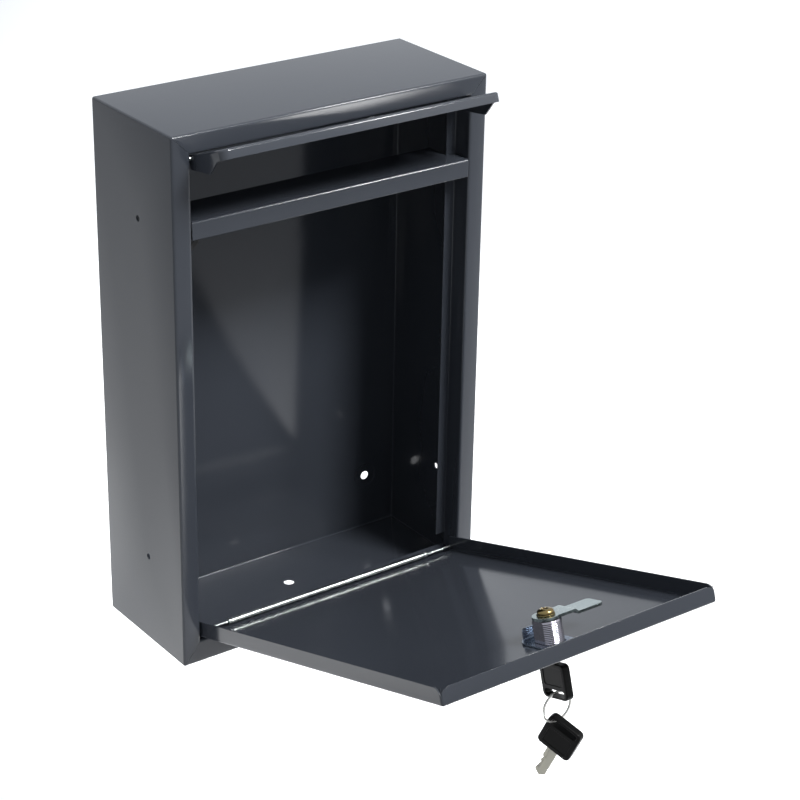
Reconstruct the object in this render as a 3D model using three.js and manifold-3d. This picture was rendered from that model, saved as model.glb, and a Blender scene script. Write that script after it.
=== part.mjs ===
// Wall letterbox: folded sheet case, slot flap, drop-down door with cam lock, two keys on a ring.
// Millimetres, +Z up. The front faces -Y and the origin is the centre of the outer back face.
import * as THREE from 'three';
import { mergeVertices } from 'three/addons/utils/BufferGeometryUtils.js';
import Module from 'manifold-3d';

const wasm = await Module();
wasm.setup();

// Case, measured from its lower left front corner: x right, y towards the wall, z up.
const WIDTH = 260;
const HEIGHT = 400;
const DEPTH = 105;
const SHEET = 1;
const GAP = 0.3;
const RUN = 0.1;
const BEND = 0.8;
const LIP = 14.3;
const BOTTOM_LIP = 18;
const JAMB_DEPTH = 17.3;
const STOP_WIDTH = 8;
const STOP_FOOT = 29;
const LEDGE_DEPTH = 19;

// Back wall fixings, side holes and drain hole.
const FIXING_INSET_X = 28;
const FIXING_INSET_Z = 45;
const FIXING_HOLE = 3.5;
const DIMPLE_RADIUS = 10;
const DIMPLE_DEPTH = 0.6;
const SIDE_HOLE = 2.3;
const SIDE_HOLE_Y = 46.5;
const SIDE_HOLE_INSET_Z = 70;
const DRAIN_HOLE = 4;
const DRAIN_Y = 60;

// Shelf under the letter slot.
const SHELF_TOP = 338.5;
const SHELF_FRONT = 13;
const SHELF_DEPTH = 36;
const CATCH_WIDTH = 50;
const CATCH_FACE_Y = 14.6;
const CATCH_DROP = 325.8;
const BUMPER_RADIUS = 14;
const BUMPER_THICK = 3;

// Door: closed position about its hinge axis, then swung open.
const DOOR_AXIS_Y = 4.6;
const DOOR_AXIS_Z = 22.5;
const DOOR_OPEN = 72.3;
const DOOR_FACE = 4.22;
const DOOR_SIDE = 15.3;
const DOOR_LENGTH = 301.8;
const DOOR_FOOT = 1;
const DOOR_FLANGE = 12.2;
const FLANGE_FOOT = 3;
const FLANGE_CORNER = 8;

// Sprung hinge bar.
const PIN_RADIUS = 1;
const TUBE_RADIUS = 2.1;
const TUBE_START = 40;
const PIN_OUTER = 12;
const PIN_INNER = 105;

// Slot flap: closed position about its pivot axis, then swung open.
const FLAP_AXIS_Y = 3.28;
const FLAP_AXIS_Z = 382.1;
const FLAP_OPEN = 111;
const FLAP_SIDE = 16.3;
const FLAP_FACE = 2;
const FLAP_HEEL = 2.5;
const FLAP_LENGTH = 42.8;
const FLAP_CORNER = 6;
const FLAP_PIN = 0.9;

// Lock, measured from the outer face of the door along its own axis.
const LOCK_X = 130;
const LOCK_Z = 265.48;
const BARREL_RADIUS = 9.9;
const BARREL_FLAT = 8;
const BARREL_TOP = 18;
const BARREL_TURN = -90;
const THREAD_PITCH = 1.5;
const THREAD_DEPTH = 0.6;
const PLUG_RADIUS = 6.5;
const PLUG_TOP = 18.2;
const SQUARE = 3.5;
const CAM_THICK = 2;
const CAM_BASE = 18.5;
const CAM_LENGTH = 42;
const CAM_WIDTH = 17;
const SCREW_SHANK = 2;
const SCREW_HEAD = 5.75;
const SCREW_TOP = 25;

// Keys and ring.
const HEAD_WIDTH = 26;
const HEAD_LENGTH = 25;
const HEAD_THICK = 6;
const BLADE_WIDTH = 8;
const BLADE_THICK = 2;
const BLADE_TIP = -37.5;
const EYE_Z = 8.3;
const EYE_REACH = 8;
const EYE_RADIUS = 2.4;
const RING_RADIUS = 11.35;
const RING_WIRE = 0.75;
const RING_Y = -259.2;
const RING_Z = 56.7;
const KEY_HEAD_OUT = 24.5;
const KEY_2_TILT = 23.5;
const KEY_2_TURN = 22;

const rad = THREE.MathUtils.degToRad;

function toSolid(geometry) {
  geometry.deleteAttribute('normal');
  geometry.deleteAttribute('uv');
  const merged = mergeVertices(geometry, 1e-4);
  const vertProperties = new Float32Array(merged.attributes.position.array);
  const triVerts = new Uint32Array(merged.index.array);
  return new wasm.Manifold(new wasm.Mesh({ numProp: 3, vertProperties, triVerts }));
}

function toGeometry(solid) {
  const mesh = solid.getMesh();
  const geometry = new THREE.BufferGeometry();
  geometry.setAttribute('position', new THREE.BufferAttribute(mesh.vertProperties, 3));
  geometry.setIndex(new THREE.BufferAttribute(mesh.triVerts, 1));
  const flat = geometry.toNonIndexed();
  flat.computeVertexNormals();
  return flat;
}

function circle(cx, cy, radius, count = 24) {
  const points = [];
  for (let i = 0; i < count; i += 1) {
    const angle = (2 * Math.PI * i) / count;
    points.push([cx + radius * Math.cos(angle), cy + radius * Math.sin(angle)]);
  }
  return points;
}

// Polygon whose corners are rounded; a corner is [x, y] or [x, y, radius].
function rounded(corners, steps = 5) {
  const points = [];
  const count = corners.length;
  corners.forEach((corner, i) => {
    const here = new THREE.Vector2(corner[0], corner[1]);
    const radius = corner[2] ?? 0;
    if (radius === 0) {
      points.push([here.x, here.y]);
      return;
    }
    const before = corners[(i + count - 1) % count];
    const after = corners[(i + 1) % count];
    const back = new THREE.Vector2(before[0], before[1]).sub(here).normalize();
    const ahead = new THREE.Vector2(after[0], after[1]).sub(here).normalize();
    const half = Math.acos(THREE.MathUtils.clamp(back.dot(ahead), -1, 1)) / 2;
    const reach = radius / Math.tan(half);
    const middle = back.clone().add(ahead).normalize().multiplyScalar(radius / Math.sin(half)).add(here);
    const start = back.clone().multiplyScalar(reach).add(here).sub(middle);
    const turn = Math.PI - 2 * half;
    const side = Math.sign(back.cross(ahead));
    for (let k = 0; k <= steps; k += 1) {
      const arm = start.clone().rotateAround(new THREE.Vector2(), (-side * turn * k) / steps);
      points.push([middle.x + arm.x, middle.y + arm.y]);
    }
  });
  return points;
}

// Outline of a sheet strip that follows a bent centre line.
function folded(path, thick = SHEET, inner = BEND) {
  const radius = inner + thick / 2;
  const line = [];
  path.forEach((point, i) => {
    const here = new THREE.Vector2(...point);
    if (i === 0 || i === path.length - 1) {
      const from = new THREE.Vector2(...path[i === 0 ? 0 : i - 1]);
      const to = new THREE.Vector2(...path[i === 0 ? 1 : i]);
      line.push({ at: here, along: to.sub(from).normalize() });
      return;
    }
    const into = here.clone().sub(new THREE.Vector2(...path[i - 1])).normalize();
    const out = new THREE.Vector2(...path[i + 1]).sub(here).normalize();
    const turn = Math.atan2(into.cross(out), into.dot(out));
    const reach = radius * Math.tan(Math.abs(turn) / 2);
    const start = here.clone().sub(into.clone().multiplyScalar(reach));
    const side = Math.sign(turn);
    const middle = new THREE.Vector2(-into.y, into.x).multiplyScalar(side * radius).add(start);
    const steps = 3;
    for (let k = 0; k <= steps; k += 1) {
      const angle = (turn * k) / steps;
      const at = start.clone().rotateAround(middle, angle);
      const along = into.clone().rotateAround(new THREE.Vector2(), angle);
      line.push({ at, along });
    }
  });
  const shift = (node, side) => [node.at.x - node.along.y * side, node.at.y + node.along.x * side];
  const left = line.map((node) => shift(node, thick / 2));
  const right = line.map((node) => shift(node, -thick / 2));
  return left.concat(right.reverse());
}

// Prism along one axis; the outline is given in the two other axes, in x, y, z order.
function prism(axis, outline, from, to, holes = []) {
  const order = (p) => (axis === 'y' ? new THREE.Vector2(p[1], p[0]) : new THREE.Vector2(p[0], p[1]));
  const shape = new THREE.Shape(outline.map(order));
  holes.forEach((hole) => shape.holes.push(new THREE.Path(hole.map(order))));
  const geometry = new THREE.ExtrudeGeometry(shape, { depth: to - from, bevelEnabled: false });
  geometry.translate(0, 0, from);
  const basis = new THREE.Matrix4();
  const ex = new THREE.Vector3(1, 0, 0);
  const ey = new THREE.Vector3(0, 1, 0);
  const ez = new THREE.Vector3(0, 0, 1);
  if (axis === 'x') basis.makeBasis(ey, ez, ex);
  if (axis === 'y') basis.makeBasis(ez, ex, ey);
  geometry.applyMatrix4(basis);
  return toSolid(geometry);
}

function box(x0, x1, y0, y1, z0, z1) {
  const geometry = new THREE.BoxGeometry(x1 - x0, y1 - y0, z1 - z0);
  geometry.translate((x0 + x1) / 2, (y0 + y1) / 2, (z0 + z1) / 2);
  return toSolid(geometry);
}

// Solid of revolution about Z; the profile is [radius, height], closed on the axis or on itself.
function turned(profile, segments = 32) {
  const points = profile.map(([r, h]) => new THREE.Vector2(r, h));
  if (profile[0][0] > 0) points.push(points[0].clone());
  const geometry = new THREE.LatheGeometry(points, segments);
  geometry.rotateX(Math.PI / 2);
  const solid = toSolid(geometry);
  return solid.volume() < 0 ? flipped(geometry) : solid;
}

function flipped(geometry) {
  const merged = mergeVertices(geometry, 1e-4);
  const triVerts = new Uint32Array(merged.index.array).reverse();
  const vertProperties = new Float32Array(merged.attributes.position.array);
  return new wasm.Manifold(new wasm.Mesh({ numProp: 3, vertProperties, triVerts }));
}

function join(...solids) {
  return solids.reduce((sum, solid) => sum.add(solid));
}

function cut(solid, ...tools) {
  return tools.reduce((rest, tool) => rest.subtract(tool), solid);
}

const FINISH = {
  anthracite: { color: 0x3a3d42, roughness: 0.3, metalness: 0 },
  zinc: { color: 0xaab0ae, roughness: 0.35, metalness: 0.9 },
  yellowZinc: { color: 0xb99a4e, roughness: 0.35, metalness: 0.9 },
  nickel: { color: 0xb5b3ab, roughness: 0.25, metalness: 1 },
  black: { color: 0x121315, roughness: 0.4, metalness: 0 },
  rubber: { color: 0x17181a, roughness: 0.8, metalness: 0 },
};

function node(name, solid, finish) {
  const mesh = new THREE.Mesh(toGeometry(solid), new THREE.MeshStandardMaterial(FINISH[finish]));
  mesh.name = name;
  return mesh;
}

// The same solid on the other side of the middle plane of the case.
function mirrored(solid) {
  return solid.mirror([1, 0, 0]).translate([WIDTH, 0, 0]);
}

function sideHole(level) {
  return prism('x', circle(SIDE_HOLE_Y, level, SIDE_HOLE, 16), -1, 2);
}

function sidePanel() {
  const half = SHEET / 2;
  const line = [
    [half, DEPTH - SHEET - GAP],
    [half, half],
    [LIP - half, half],
    [LIP - half, JAMB_DEPTH - half],
    [LIP + STOP_WIDTH, JAMB_DEPTH - half],
  ];
  const full = prism('z', folded(line), 0, HEIGHT);
  const deep = JAMB_DEPTH + SHEET;
  const wide = LIP + STOP_WIDTH + SHEET;
  const top = HEIGHT - LIP - GAP / 2;
  const over = HEIGHT + 1;
  const aboveMitre = [[SHEET, HEIGHT - SHEET], [LIP, top], [wide, top], [wide, over], [SHEET, over]];
  const foot = BOTTOM_LIP + GAP;
  const belowMitre = [[SHEET, SHEET], [LIP, foot], [wide, foot], [wide, -1], [SHEET, -1]];
  return cut(
    full,
    prism('y', aboveMitre, -1, deep),
    prism('y', belowMitre, -1, deep),
    box(LIP, wide, BEND + SHEET, deep, -1, STOP_FOOT),
    sideHole(SIDE_HOLE_INSET_Z),
    prism('x', circle(DOOR_AXIS_Y, DOOR_AXIS_Z, PIN_RADIUS + RUN, 16), SHEET + 1, LIP + 1),
    prism('x', circle(FLAP_AXIS_Y, FLAP_AXIS_Z, FLAP_PIN + RUN, 16), SHEET + 1, LIP + 1),
  );
}

function topPanel() {
  const half = SHEET / 2;
  const line = [
    [DEPTH - SHEET - GAP, HEIGHT - half],
    [half, HEIGHT - half],
    [half, HEIGHT - LIP + half],
    [LIP, HEIGHT - LIP + half],
  ];
  const edge = SHEET + GAP;
  const full = prism('x', folded(line), edge, WIDTH - edge);
  const under = HEIGHT - LIP - 1;
  const seam = HEIGHT - SHEET;
  const inner = LIP + GAP;
  const corner = [[edge, seam], [inner, HEIGHT - LIP], [inner, under], [0, under], [0, seam]];
  const notch = prism('y', corner, -1, JAMB_DEPTH + SHEET);
  return cut(full, notch, mirrored(notch));
}

function bottomPanel() {
  const half = SHEET / 2;
  const line = [
    [DEPTH - SHEET - GAP, half],
    [half, half],
    [half, BOTTOM_LIP - half],
    [LEDGE_DEPTH, BOTTOM_LIP - half],
  ];
  const edge = SHEET + GAP;
  const full = prism('x', folded(line), edge, WIDTH - edge);
  const over = BOTTOM_LIP + 1;
  const corner = [[edge, SHEET], [LIP + GAP, BOTTOM_LIP], [LIP + GAP, over], [0, over], [0, SHEET]];
  const notch = prism('y', corner, -1, LEDGE_DEPTH + SHEET);
  const drain = prism('z', circle(WIDTH / 2, DRAIN_Y, DRAIN_HOLE), -1, 2);
  return cut(full, notch, mirrored(notch), drain);
}

// Back wall with four fixing holes, each in a shallow dish sunk into the inner face.
function backPanel() {
  const plate = box(0, WIDTH, DEPTH - SHEET, DEPTH, 0, HEIGHT);
  const floor = DIMPLE_RADIUS - DIMPLE_DEPTH * 1.5;
  const dish = turned([
    [0, -1], [DIMPLE_RADIUS, -1], [DIMPLE_RADIUS, 0], [floor, DIMPLE_DEPTH], [0, DIMPLE_DEPTH],
  ]);
  const eye = turned([[0, -1], [FIXING_HOLE, -1], [FIXING_HOLE, 3], [0, 3]], 24);
  const tool = dish.add(eye).rotate([-90, 0, 0]);
  const places = [FIXING_INSET_X, WIDTH - FIXING_INSET_X]
    .flatMap((x) => [FIXING_INSET_Z, HEIGHT - FIXING_INSET_Z].map((z) => [x, z]));
  return cut(plate, ...places.map(([x, z]) => tool.translate([x, DEPTH - SHEET, z])));
}

function slotShelf() {
  const half = SHEET / 2;
  const line = [
    [half, SHELF_TOP - SHELF_FRONT],
    [half, SHELF_TOP - half],
    [SHELF_DEPTH, SHELF_TOP - half],
  ];
  const side = LIP + GAP;
  const wide = LIP + STOP_WIDTH + 0.5;
  const notch = box(0, wide, JAMB_DEPTH - 1.5, SHELF_DEPTH + 1, SHELF_TOP - 3, SHELF_TOP + 1);
  return cut(prism('x', folded(line), side, WIDTH - side), notch, mirrored(notch));
}

function lockCatch() {
  const half = SHEET / 2;
  const top = SHELF_TOP - SHEET - GAP;
  const line = [
    [CATCH_FACE_Y + half, CATCH_DROP],
    [CATCH_FACE_Y + half, top - half],
    [SHELF_DEPTH - 4, top - half],
  ];
  return prism('x', folded(line), (WIDTH - CATCH_WIDTH) / 2, (WIDTH + CATCH_WIDTH) / 2);
}

function doorBumper() {
  const left = LIP + 2 * GAP;
  const top = SHELF_TOP - SHELF_FRONT - GAP;
  const right = left + BUMPER_RADIUS;
  const low = top - BUMPER_RADIUS;
  const outline = rounded([[left, top], [right, top], [right, low, BUMPER_RADIUS - 1], [left, low]], 8);
  const back = JAMB_DEPTH - SHEET - GAP;
  return prism('y', outline, back - BUMPER_THICK, back);
}

// Door tray in its closed position, hinge axis on the X axis.
function doorPanel() {
  const half = SHEET / 2;
  const face = -DOOR_FACE;
  const rim = face + DOOR_FLANGE;
  const left = DOOR_SIDE;
  const right = WIDTH - DOOR_SIDE;
  const channel = [
    [left + half, rim],
    [left + half, face + half],
    [right - half, face + half],
    [right - half, rim],
  ];
  const tray = prism('z', folded(channel), -FLANGE_FOOT, DOOR_LENGTH);
  const profile = rounded([
    [face, -DOOR_FOOT],
    [-FLANGE_FOOT, -FLANGE_FOOT],
    [rim, -FLANGE_FOOT],
    [rim, DOOR_LENGTH, FLANGE_CORNER],
    [face, DOOR_LENGTH],
  ]);
  const sides = tray.intersect(prism('x', profile, left - 1, right + 1));
  const edge = [
    [face + half, DOOR_LENGTH - 14],
    [face + half, DOOR_LENGTH - half],
    [rim, DOOR_LENGTH - half],
  ];
  const plan = rounded([
    [left, face],
    [right, face],
    [right, rim, FLANGE_CORNER],
    [left, rim, FLANGE_CORNER],
  ]);
  const end = prism('x', folded(edge), left, right);
  const endTrimmed = end.intersect(prism('z', plan, DOOR_LENGTH - 20, DOOR_LENGTH + 1));
  const foot = box(left + 2, right - 2, face - 1, face + 2, -FLANGE_FOOT - 1, -DOOR_FOOT);
  const pins = prism('x', circle(0, 0, PIN_RADIUS + RUN, 16), left - 1, right + 1);
  const mount = barrelSection(BARREL_RADIUS + 0.35, BARREL_FLAT + 0.35, -1, 2);
  return cut(join(sides, endTrimmed), foot, pins, atLock(mount));
}

// From lock coordinates (Z along the barrel, 0 on the outer face of the door) to the closed door.
function atLock(solid) {
  return solid.rotate([-90, 0, 0]).translate([LOCK_X, -DOOR_FACE, LOCK_Z]);
}

function barrelSection(radius, flat, from, to) {
  const round = prism('z', circle(0, 0, radius, 32), from, to);
  return round.intersect(box(-20, 20, -flat, flat, from - 1, to + 1)).rotate([0, 0, BARREL_TURN]);
}

function lockHousing() {
  const crest = BARREL_RADIUS;
  const root = BARREL_RADIUS - THREAD_DEPTH;
  const profile = [[PLUG_RADIUS + RUN, -2], [10.6, -2], [11.5, -1.3], [11.5, -GAP], [root, -GAP]];
  for (let h = 1; h + THREAD_PITCH < BARREL_TOP; h += THREAD_PITCH) {
    profile.push([root, h], [crest, h + THREAD_PITCH * 0.3], [crest, h + THREAD_PITCH * 0.6]);
  }
  profile.push([root, BARREL_TOP], [PLUG_RADIUS + RUN, BARREL_TOP]);
  const barrel = turned(profile);
  const outside = (flat, from, to) => {
    const upper = box(-20, 20, flat, 20, from, to);
    return join(upper, upper.mirror([0, 1, 0])).rotate([0, 0, BARREL_TURN]);
  };
  const groove = outside(BARREL_FLAT - 0.7, SHEET, 2.8);
  return cut(barrel, outside(BARREL_FLAT, -GAP, BARREL_TOP + 1), groove);
}

function lockClip() {
  const slot = BARREL_FLAT - 0.4;
  const base = SHEET + GAP;
  const reach = BARREL_RADIUS + GAP;
  const shoulder = -Math.sqrt(reach * reach - slot * slot);
  const outline = rounded([
    [16.5, slot], [16.5, 12.5, 2], [-14, 12.5, 5], [-20.6, 6.5], [-20.6, -6.5], [-14, -12.5, 5],
    [16.5, -12.5, 2], [16.5, -slot], [shoulder, -slot], [-reach, -3], [-reach, 3], [shoulder, slot],
  ]);
  const plate = prism('z', outline, base, base + 1.2);
  const tab = box(-20.6, -19.4, -6.5, 6.5, base, base + 8);
  return join(plate, tab).rotate([0, 0, BARREL_TURN]);
}

// Room for a key blade between two levels.
function bladePocket(from, to) {
  const thick = BLADE_THICK / 2 + GAP;
  const wide = BLADE_WIDTH / 2 + GAP;
  return box(-thick, thick, -wide, wide, from, to);
}

function lockPlug() {
  const body = turned([[0, -2], [PLUG_RADIUS, -2], [PLUG_RADIUS, PLUG_TOP], [0, PLUG_TOP]], 28);
  const square = box(-SQUARE, SQUARE, -SQUARE, SQUARE, PLUG_TOP - 1, CAM_BASE + CAM_THICK - 0.1);
  const keyway = bladePocket(-3, 13.3);
  const thread = prism('z', circle(0, 0, SCREW_SHANK + GAP, 16), 14.9, 22);
  return cut(join(body, square), keyway, thread);
}

function lockCam() {
  const middle = CAM_BASE + CAM_THICK / 2;
  const line = [[-12, middle], [18, middle], [20.2, middle - 2.2], [CAM_LENGTH, middle - 2.2]];
  const strip = prism('y', folded(line, CAM_THICK, 0.6), -12, 12);
  const blade = prism('z', rounded([
    [0, -CAM_WIDTH / 2], [CAM_LENGTH, -CAM_WIDTH / 2, 3], [CAM_LENGTH, CAM_WIDTH / 2, 3], [0, CAM_WIDTH / 2],
  ]), 0, 30);
  const boss = prism('z', circle(0, 0, 9.5, 28), 0, 30);
  const seat = SQUARE + GAP;
  return strip.intersect(join(blade, boss)).subtract(box(-seat, seat, -seat, seat, 0, 30));
}

function camWasher() {
  const base = CAM_BASE + CAM_THICK + GAP;
  const hole = SCREW_SHANK + GAP;
  return turned([[hole, base], [6.3, base], [6.3, base + 0.8], [hole, base + 0.8]], 28);
}

function camScrew() {
  const seat = CAM_BASE + CAM_THICK + 1.4;
  const head = turned([
    [0, 15.2], [SCREW_SHANK, 15.2], [SCREW_SHANK, seat], [SCREW_HEAD, seat], [SCREW_HEAD, seat + 1.2],
    [SCREW_HEAD - 0.9, SCREW_TOP - 0.7], [SCREW_HEAD - 2.4, SCREW_TOP - 0.1], [0, SCREW_TOP],
  ], 28);
  const arm = box(-3.1, 3.1, -0.65, 0.65, SCREW_TOP - 1.7, SCREW_TOP + 1);
  return cut(head, arm, arm.rotate([0, 0, 90]));
}

// Key: X is its thickness, Z runs from the blade to the head, origin in the middle of the head.
function keyHead() {
  const w = HEAD_WIDTH / 2;
  const l = HEAD_LENGTH / 2;
  const shell = prism('x', rounded([[-w, -l, 3.5], [w, -l, 3.5], [w, l, 4], [-w, l, 4]]),
    -HEAD_THICK / 2, HEAD_THICK / 2);
  const eye = prism('x', rounded([
    [-EYE_REACH - EYE_RADIUS, EYE_Z - EYE_RADIUS, 2.3], [EYE_REACH + EYE_RADIUS, EYE_Z - EYE_RADIUS, 2.3],
    [EYE_REACH + EYE_RADIUS, EYE_Z + EYE_RADIUS, 2.3], [-EYE_REACH - EYE_RADIUS, EYE_Z + EYE_RADIUS, 2.3],
  ]), -10, 10);
  return cut(shell, eye, bladePocket(-l - 1, 0.3));
}

function keyBlade() {
  const w = BLADE_WIDTH / 2;
  const outline = [
    [-w, 0], [-w, -30], [-w + 1.2, -31.2], [-w, -32.4], [-w, BLADE_TIP + 3], [-w + 3, BLADE_TIP],
    [w - 3, BLADE_TIP], [w, BLADE_TIP + 3], [w, -33], [w - 1.5, -31.5], [w - 0.6, -30], [w - 1.8, -27.5],
    [w - 0.4, -25.5], [w - 1.4, -23], [w, -21], [w, 0],
  ];
  return prism('x', outline, -BLADE_THICK / 2, BLADE_THICK / 2);
}

function ring() {
  const profile = circle(RING_RADIUS, 0, RING_WIRE, 8);
  return turned(profile, 36).rotate([90, 0, 0]).translate([WIDTH / 2, RING_Y, RING_Z]);
}

// Tube of the hinge bar with its ends rolled in over the pins.
function hingeTube() {
  const bore = PIN_RADIUS + RUN;
  const wide = TUBE_RADIUS - 0.5;
  const length = WIDTH - 2 * TUBE_START;
  const outer = [
    [TUBE_RADIUS - 0.3, 0], [TUBE_RADIUS + 0.25, 0.8], [TUBE_RADIUS + 0.25, 2.2], [TUBE_RADIUS - 0.3, 3.2],
    [TUBE_RADIUS, 4.4], [TUBE_RADIUS, length - 4.4], [TUBE_RADIUS - 0.3, length - 3.2],
    [TUBE_RADIUS + 0.25, length - 2.2], [TUBE_RADIUS + 0.25, length - 0.8], [TUBE_RADIUS - 0.3, length],
  ];
  const inner = [[bore, length], [bore, length - 4], [wide, length - 5], [wide, 5], [bore, 4], [bore, 0]];
  return onHinge(turned(outer.concat(inner), 20).translate([0, 0, TUBE_START]));
}

// From a turned part standing on the origin to the hinge axis of the door, along X.
function onHinge(solid) {
  return solid.rotate([0, 90, 0]).translate([0, DOOR_AXIS_Y, DOOR_AXIS_Z]);
}

function hingePin() {
  const shank = [[0, PIN_OUTER], [PIN_RADIUS - 0.3, PIN_OUTER], [PIN_RADIUS, PIN_OUTER + 0.5],
    [PIN_RADIUS, PIN_INNER - 1.5], [PIN_RADIUS + 0.25, PIN_INNER - 1.5], [PIN_RADIUS + 0.25, PIN_INNER],
    [0, PIN_INNER]];
  return onHinge(turned(shank, 16));
}

function hingeSpring() {
  const start = PIN_INNER + GAP + 0.2;
  const length = WIDTH - 2 * start;
  const turns = 12;
  const coil = 1.1;
  class Helix extends THREE.Curve {
    getPoint(t) {
      const angle = 2 * Math.PI * turns * t;
      return new THREE.Vector3(t * length, coil * Math.cos(angle), coil * Math.sin(angle));
    }
  }
  const wire = new THREE.Shape(circle(0, 0, 0.25, 5).map(([x, y]) => new THREE.Vector2(x, y)));
  const geometry = new THREE.ExtrudeGeometry(wire, { steps: turns * 8, extrudePath: new Helix() });
  return toSolid(geometry).translate([start, DOOR_AXIS_Y, DOOR_AXIS_Z]);
}

// Slot flap in its closed position, pivot axis on the X axis.
function flapPanel() {
  const left = FLAP_SIDE;
  const right = WIDTH - FLAP_SIDE;
  const face = -FLAP_FACE;
  const plan = (inset, top) => rounded([
    [left + inset, top], [left + inset, -FLAP_LENGTH + inset, FLAP_CORNER - inset],
    [right - inset, -FLAP_LENGTH + inset, FLAP_CORNER - inset], [right - inset, top],
  ]);
  const outer = prism('y', plan(0, FLAP_HEEL), face, face + 16);
  const inner = prism('y', plan(SHEET, FLAP_HEEL + 5), face + SHEET, face + 20);
  const profile = [
    [face, FLAP_HEEL], [7.5, FLAP_HEEL], [12.5, -21], [5.2, -33], [5, -FLAP_LENGTH], [face, -FLAP_LENGTH],
  ];
  const ears = prism('x', profile, left - 1, right + 1);
  const pins = prism('x', circle(0, 0, FLAP_PIN + RUN, 16), left - 1, right + 1);
  return outer.subtract(inner).intersect(ears).subtract(pins);
}

function flapPin() {
  const collar = [LIP + GAP, FLAP_SIDE - GAP];
  const profile = [
    [0, 12.6], [FLAP_PIN, 12.6], [FLAP_PIN, collar[0]], [1.7, collar[0]], [1.7, collar[1]],
    [FLAP_PIN, collar[1]], [FLAP_PIN, FLAP_SIDE + 0.9], [0, FLAP_SIDE + 0.9],
  ];
  return turned(profile, 16).rotate([0, 90, 0]).translate([0, FLAP_AXIS_Y, FLAP_AXIS_Z]);
}

function buildCase() {
  const side = sidePanel();
  const pin = flapPin();
  return [
    node('side_panel_left', cut(side, sideHole(HEIGHT - SIDE_HOLE_INSET_Z)), 'anthracite'),
    node('side_panel_right', mirrored(side), 'anthracite'),
    node('top_panel', topPanel(), 'anthracite'),
    node('bottom_panel', bottomPanel(), 'anthracite'),
    node('back_panel', backPanel(), 'anthracite'),
    node('slot_shelf', slotShelf(), 'anthracite'),
    node('lock_catch', lockCatch(), 'anthracite'),
    node('door_bumper', doorBumper(), 'rubber'),
    node('flap_pin_left', pin, 'zinc'),
    node('flap_pin_right', mirrored(pin), 'zinc'),
  ];
}

function buildHinge() {
  const pin = hingePin();
  return [
    node('hinge_tube', hingeTube(), 'zinc'),
    node('hinge_pin_left', pin, 'zinc'),
    node('hinge_pin_right', mirrored(pin), 'zinc'),
    node('hinge_spring', hingeSpring(), 'nickel'),
  ];
}

function buildFlap() {
  const flap = node('flap_panel', flapPanel(), 'anthracite');
  flap.position.set(0, FLAP_AXIS_Y, FLAP_AXIS_Z);
  flap.rotation.x = rad(-FLAP_OPEN);
  return flap;
}

function buildLock() {
  const lock = new THREE.Group();
  lock.name = 'lock';
  lock.position.set(LOCK_X, -DOOR_FACE, LOCK_Z);
  lock.rotation.x = rad(-90);
  lock.add(
    node('lock_housing', lockHousing(), 'zinc'),
    node('lock_clip', lockClip(), 'zinc'),
    node('lock_plug', lockPlug(), 'nickel'),
    node('lock_cam', lockCam(), 'zinc'),
    node('cam_washer', camWasher(), 'yellowZinc'),
    node('cam_screw', camScrew(), 'yellowZinc'),
  );
  return lock;
}

function buildKey(name) {
  const key = new THREE.Group();
  key.name = name;
  key.add(node(`${name}_head`, keyHead(), 'black'), node(`${name}_blade`, keyBlade(), 'nickel'));
  return key;
}

function buildDoor() {
  const door = new THREE.Group();
  door.name = 'door';
  const key = buildKey('key_1');
  key.position.set(LOCK_X, -DOOR_FACE - KEY_HEAD_OUT, LOCK_Z);
  key.rotation.x = rad(90);
  door.add(node('door_panel', doorPanel(), 'anthracite'), buildLock(), key);
  door.position.set(0, DOOR_AXIS_Y, DOOR_AXIS_Z);
  door.rotation.x = rad(DOOR_OPEN);
  return door;
}

function buildSpareKey() {
  const hanger = new THREE.Group();
  hanger.name = 'key_2_hanger';
  const key = buildKey('key_2');
  key.position.set(0, -EYE_REACH, -EYE_Z);
  hanger.add(key);
  hanger.position.set(WIDTH / 2, RING_Y, RING_Z - RING_RADIUS);
  hanger.rotation.set(rad(KEY_2_TILT), 0, rad(KEY_2_TURN), 'ZYX');
  return hanger;
}

const letterbox = new THREE.Group();
letterbox.name = 'wall_letterbox';
letterbox.position.set(-WIDTH / 2, -DEPTH, -HEIGHT / 2);
letterbox.add(...buildCase(), ...buildHinge(), buildFlap(), buildDoor());
letterbox.add(node('key_ring', ring(), 'nickel'), buildSpareKey());

export default letterbox;
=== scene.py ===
"""Looks of the wall letterbox: folded powder-coated case, slot flap, tray door, cam lock, keys and ring."""
import math

import bpy
import bmesh
from mathutils import Matrix, Vector


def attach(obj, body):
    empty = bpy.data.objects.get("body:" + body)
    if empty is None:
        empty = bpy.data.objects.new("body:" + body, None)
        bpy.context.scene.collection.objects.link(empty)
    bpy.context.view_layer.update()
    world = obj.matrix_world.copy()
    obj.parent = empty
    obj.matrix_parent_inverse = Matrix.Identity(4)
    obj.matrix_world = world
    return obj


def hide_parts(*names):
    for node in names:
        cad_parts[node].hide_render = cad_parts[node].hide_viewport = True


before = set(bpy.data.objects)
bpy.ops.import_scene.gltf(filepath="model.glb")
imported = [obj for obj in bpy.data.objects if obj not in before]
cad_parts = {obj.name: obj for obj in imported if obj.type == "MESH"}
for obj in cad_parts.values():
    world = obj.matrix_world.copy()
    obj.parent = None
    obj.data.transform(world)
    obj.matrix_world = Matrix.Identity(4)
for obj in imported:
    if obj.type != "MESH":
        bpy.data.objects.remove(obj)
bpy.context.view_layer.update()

# Sizes in millimetres, measured from the lower left front corner of the case, as the CAD part is.
WIDTH, HEIGHT, DEPTH = 260.0, 400.0, 105.0
SHEET = 1.0
OUTER_BEND = 1.8
INNER_BEND = 0.8
SEAM = 1.2
LIP, BOTTOM_LIP = 14.3, 18.0
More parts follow.
